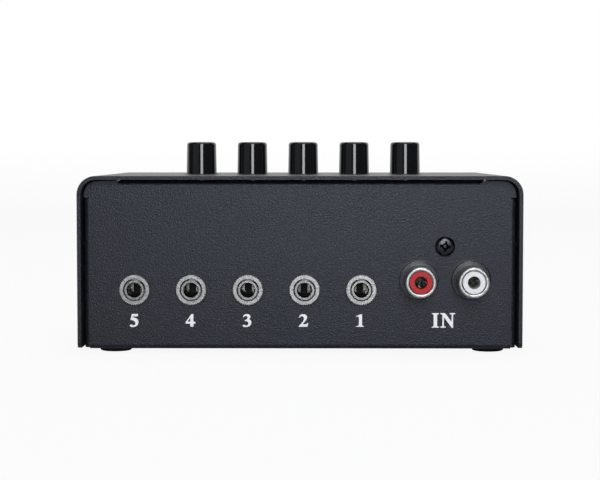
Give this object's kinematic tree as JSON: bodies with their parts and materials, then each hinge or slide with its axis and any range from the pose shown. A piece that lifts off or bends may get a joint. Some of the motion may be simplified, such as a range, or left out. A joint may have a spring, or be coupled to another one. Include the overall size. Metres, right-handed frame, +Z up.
{
  "type": "speaker selector switch",
  "caption": "Small black steel box with a row of latching push buttons on top, and 3.5 mm output jacks beside a red and white pair of phono inputs in its recessed end panel.",
  "frame": {"origin": "on the floor, at the middle of the footprint with the phono sockets included", "axes": "+X along the socket panel towards the phono sockets, the socket side faces -Y, +Z up"},
  "size_m": [0.119, 0.0858, 0.0578],
  "materials": {
    "cover_paint": "black textured powder coat",
    "tray_paint": "black textured powder coat",
    "foot_rubber": "matt black rubber",
    "black_screw": "black zinc-plated steel",
    "steel_screw": "bright zinc-plated steel",
    "standoff_brass": "nickel-plated brass",
    "board_laminate": "glass-epoxy laminate with green mask",
    "header_plastic": "black moulded plastic",
    "ribbon_plastic": "grey flat cable",
    "jack_plastic": "black moulded plastic",
    "bushing_nickel": "bright nickel plate on brass",
    "nut_nickel": "bright nickel plate on brass",
    "contact_metal": "tin-plated spring bronze",
    "phono_plastic": "black moulded plastic",
    "shell_nickel": "bright nickel plate on brass",
    "insulator_red": "red moulded plastic",
    "insulator_white": "white moulded plastic",
    "switch_plastic": "black moulded plastic",
    "plunger_plastic": "natural moulded plastic",
    "spring_steel": "bright spring wire",
    "terminal_silver": "silver-plated brass",
    "cap_plastic": "glossy black moulded plastic"
  },
  "bodies": {
    "case": {"top_cover": "cover_paint", "base_tray": "tray_paint", "rubber_feet": "foot_rubber", "cover_screws": "black_screw", "phono_screw": "black_screw", "base_screws": "black_screw", "board_screws": "steel_screw", "lower_standoffs": "standoff_brass", "upper_standoffs": "standoff_brass", "main_board": "board_laminate", "switch_board": "board_laminate", "main_header": "header_plastic", "switch_header": "header_plastic", "ribbon_cable": "ribbon_plastic", "jack_nuts": "nut_nickel", "phono_block": "phono_plastic", "phono_left_shell": "shell_nickel", "phono_right_shell": "shell_nickel", "phono_left_insulator": "insulator_red", "phono_right_insulator": "insulator_white", "phono_left_contact": "contact_metal", "phono_right_contact": "contact_metal", "switch_bases": "switch_plastic", "switch_terminals": "terminal_silver", "latch_pins": "spring_steel", "jack_1_housing": "jack_plastic", "jack_1_bushing": "bushing_nickel", "jack_1_contacts": "contact_metal", "switch_1_housing": "switch_plastic", "switch_1_spring": "spring_steel", "jack_2_housing": "jack_plastic", "jack_2_bushing": "bushing_nickel", "jack_2_contacts": "contact_metal", "switch_2_housing": "switch_plastic", "switch_2_spring": "spring_steel", "jack_3_housing": "jack_plastic", "jack_3_bushing": "bushing_nickel", "jack_3_contacts": "contact_metal", "switch_3_housing": "switch_plastic", "switch_3_spring": "spring_steel", "jack_4_housing": "jack_plastic", "jack_4_bushing": "bushing_nickel", "jack_4_contacts": "contact_metal", "switch_4_housing": "switch_plastic", "switch_4_spring": "spring_steel", "jack_5_housing": "jack_plastic", "jack_5_bushing": "bushing_nickel", "jack_5_contacts": "contact_metal", "switch_5_housing": "switch_plastic", "switch_5_spring": "spring_steel"},
    "button_1": {"switch_1_plunger": "plunger_plastic", "button_1_cap": "cap_plastic"},
    "button_2": {"switch_2_plunger": "plunger_plastic", "button_2_cap": "cap_plastic"},
    "button_3": {"switch_3_plunger": "plunger_plastic", "button_3_cap": "cap_plastic"},
    "button_4": {"switch_4_plunger": "plunger_plastic", "button_4_cap": "cap_plastic"},
    "button_5": {"switch_5_plunger": "plunger_plastic", "button_5_cap": "cap_plastic"}
  },
  "joints": [
    {"name": "button_1_press", "type": "slide", "parent": "case", "child": "button_1", "axis": [0, 0, -1], "range_m": [0, 0.0025], "stiffness_N_per_m": 400, "springref_m": -0.002, "deforming": ["switch_1_spring"]},
    {"name": "button_2_press", "type": "slide", "parent": "case", "child": "button_2", "axis": [0, 0, -1], "range_m": [0, 0.0025], "stiffness_N_per_m": 400, "springref_m": -0.002, "deforming": ["switch_2_spring"]},
    {"name": "button_3_press", "type": "slide", "parent": "case", "child": "button_3", "axis": [0, 0, -1], "range_m": [0, 0.0025], "stiffness_N_per_m": 400, "springref_m": -0.002, "deforming": ["switch_3_spring"]},
    {"name": "button_4_press", "type": "slide", "parent": "case", "child": "button_4", "axis": [0, 0, -1], "range_m": [0, 0.0025], "stiffness_N_per_m": 400, "springref_m": -0.002, "deforming": ["switch_4_spring"]},
    {"name": "button_5_press", "type": "slide", "parent": "case", "child": "button_5", "axis": [0, 0, -1], "range_m": [0, 0.0025], "stiffness_N_per_m": 400, "springref_m": -0.002, "deforming": ["switch_5_spring"]}
  ]
}
